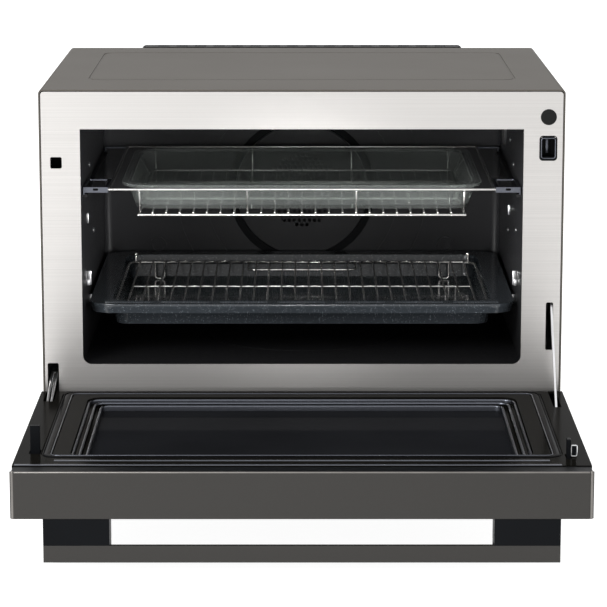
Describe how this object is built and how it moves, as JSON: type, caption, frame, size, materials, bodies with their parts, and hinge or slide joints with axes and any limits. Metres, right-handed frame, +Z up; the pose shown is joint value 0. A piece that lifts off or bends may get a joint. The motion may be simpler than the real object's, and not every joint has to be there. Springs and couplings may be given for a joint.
{
  "type": "toaster oven",
  "caption": "Countertop oven with a drop-down glazed door shown open, stainless front, hanging wire rack with glass dish, enamel tray with wire trivet, rear convection fan.",
  "frame": {"origin": "centre of the footprint with the door open, on the surface the feet stand on", "axes": "+Z up, +Y towards the back of the oven, +X towards its right side seen from the front"},
  "size_m": [0.5, 0.739, 0.38],
  "materials": {
    "cabinet_paint": "satin grey-brown baked paint",
    "front_steel": "fine horizontal brushing",
    "door_trim": "satin dark grey metallic",
    "door_pan": "gloss dark brown-black enamel",
    "black_plastic": "matt black moulding",
    "gloss_plastic": "gloss black moulding",
    "black_glass": "gloss, printed black on the back",
    "window_glass": "clear tinted",
    "display_glass": "gloss",
    "cavity_coat": "semi-gloss non-stick coating",
    "rail_steel": "semi-gloss coating",
    "fan_steel": "semi-gloss coating",
    "galvanised": "zinc-coated sheet",
    "heater_sheath": "heat-tinted sheath",
    "motor_iron": "laminated core",
    "wool": "mineral wool",
    "lamp_glass": "frosted",
    "lamp_body": "white ceramic",
    "circuit": "circuit board laminate",
    "rubber": "matt",
    "seal": "satin silicone",
    "pin_steel": "turned",
    "link_steel": "bright nickel",
    "screw_steel": "zinc",
    "chrome_wire": "bright plated wire",
    "bracket_sheet": "satin sheet",
    "dish_glass": "clear with green edges",
    "tray_enamel": "speckled vitreous enamel",
    "knob": "satin black with metallic cap",
    "button_caps": "satin"
  },
  "bodies": {
    "oven": {"outer_cabinet": "cabinet_paint", "front_frame": "front_steel", "cavity_liner": "cavity_coat", "side_rails": "rail_steel", "fan_cover": "fan_steel", "fan_housing": "fan_steel", "fan_motor": "motor_iron", "ring_heater": "heater_sheath", "upper_heater": "heater_sheath", "lower_heater": "heater_sheath", "insulation": "wool", "cavity_lamp": "lamp_body", "lamp_lens": "lamp_glass", "power_board": "circuit", "base_plate": "galvanised", "rear_panel": "galvanised", "rear_cover": "black_plastic", "cord_inlet": "rubber", "cabinet_screws": "screw_steel", "feet": "rubber", "latch_socket": "black_plastic", "door_switch": "black_plastic", "bumper_plug": "rubber", "hinge_brackets": "pin_steel", "hinge_pins": "pin_steel"},
    "fan": {"convection_fan": "fan_steel", "fan_shaft": "pin_steel"},
    "drip_tray": {"drip_tray": "black_plastic"},
    "door": {"door_inner_frame": "door_pan", "door_seal": "seal", "door_inner_glass": "window_glass", "door_outer_glass": "black_glass", "control_fascia": "gloss_plastic", "display_window": "display_glass", "control_board": "circuit", "control_housing": "black_plastic", "door_top_rail": "black_plastic", "door_top_trim": "door_trim", "hinge_blocks": "pin_steel", "linkage_brackets": "pin_steel", "linkage_pins": "pin_steel", "handle_brackets": "black_plastic", "handle_bar": "door_trim", "handle_bar_backing": "black_plastic", "handle_screws": "screw_steel"},
    "dial": {"control_dial": "knob"},
    "button_1": {"button_1": "button_caps"},
    "button_2": {"button_2": "button_caps"},
    "button_3": {"button_3": "button_caps"},
    "link_right": {"door_arm_right": "link_steel"},
    "link_left": {"door_arm_left": "link_steel"},
    "latch_left": {"latch_hook_left": "black_plastic"},
    "latch_right": {"latch_hook_right": "black_plastic"},
    "upper_rack": {"rack_frame": "chrome_wire", "rack_basket": "chrome_wire", "shelf_brackets": "bracket_sheet"},
    "dish": {"glass_dish": "dish_glass"},
    "tray": {"enamel_tray": "tray_enamel"},
    "trivet": {"wire_trivet": "chrome_wire", "trivet_feet": "chrome_wire"}
  },
  "joints": [
    {"name": "door_hinge", "type": "hinge", "parent": "oven", "child": "door", "pos_m": [0, -0.0635, 0.0732], "axis": [1, 0, 0], "range_deg": [-90, 0]},
    {"name": "link_right_pivot", "type": "hinge", "parent": "door", "child": "link_right", "pos_m": [0.24, -0.1139, 0.0804], "axis": [1, 0, 0], "range_deg": [0, 78]},
    {"name": "link_left_pivot", "type": "hinge", "parent": "door", "child": "link_left", "pos_m": [-0.24, -0.0998, 0.0854], "axis": [1, 0, 0], "range_deg": [0, 76]},
    {"name": "latch_left_pivot", "type": "hinge", "parent": "door", "child": "latch_left", "pos_m": [-0.234, -0.2988, 0.072], "axis": [1, 0, 0], "range_deg": [0, 4], "stiffness_Nm_per_rad": 0.2},
    {"name": "latch_right_pivot", "type": "hinge", "parent": "door", "child": "latch_right", "pos_m": [0.2325, -0.3153, 0.072], "axis": [1, 0, 0], "range_deg": [0, 4], "stiffness_Nm_per_rad": 0.2},
    {"name": "upper_rack_slide", "type": "slide", "parent": "oven", "child": "upper_rack", "axis": [0, -1, 0], "range_m": [0, 0.25]},
    {"name": "dish_lift", "type": "slide", "parent": "upper_rack", "child": "dish", "axis": [0, 0, 1], "range_m": [0, 0.02]},
    {"name": "tray_slide", "type": "slide", "parent": "oven", "child": "tray", "axis": [0, -1, 0], "range_m": [0, 0.25]},
    {"name": "trivet_lift", "type": "slide", "parent": "tray", "child": "trivet", "axis": [0, 0, 1], "range_m": [0, 0.02]},
    {"name": "drip_tray_slide", "type": "slide", "parent": "oven", "child": "drip_tray", "axis": [0, -1, 0], "range_m": [0, 0.12]},
    {"name": "fan_spin", "type": "hinge", "parent": "oven", "child": "fan", "pos_m": [0, 0.2955, 0.234], "axis": [0, -1, 0], "continuous": true},
    {"name": "dial_turn", "type": "hinge", "parent": "door", "child": "dial", "pos_m": [0.191, -0.1945, 0.042], "axis": [0, 0, -1], "continuous": true},
    {"name": "button_1_press", "type": "slide", "parent": "door", "child": "button_1", "axis": [0, 0, 1], "range_m": [0, 0.001], "stiffness_N_per_m": 300},
    {"name": "button_2_press", "type": "slide", "parent": "door", "child": "button_2", "axis": [0, 0, 1], "range_m": [0, 0.001], "stiffness_N_per_m": 300},
    {"name": "button_3_press", "type": "slide", "parent": "door", "child": "button_3", "axis": [0, 0, 1], "range_m": [0, 0.001], "stiffness_N_per_m": 300}
  ],
  "couplings": [
    {"joint": "link_right_pivot", "follows": "door_hinge", "ratio": -0.86667},
    {"joint": "link_left_pivot", "follows": "door_hinge", "ratio": -0.84444}
  ]
}
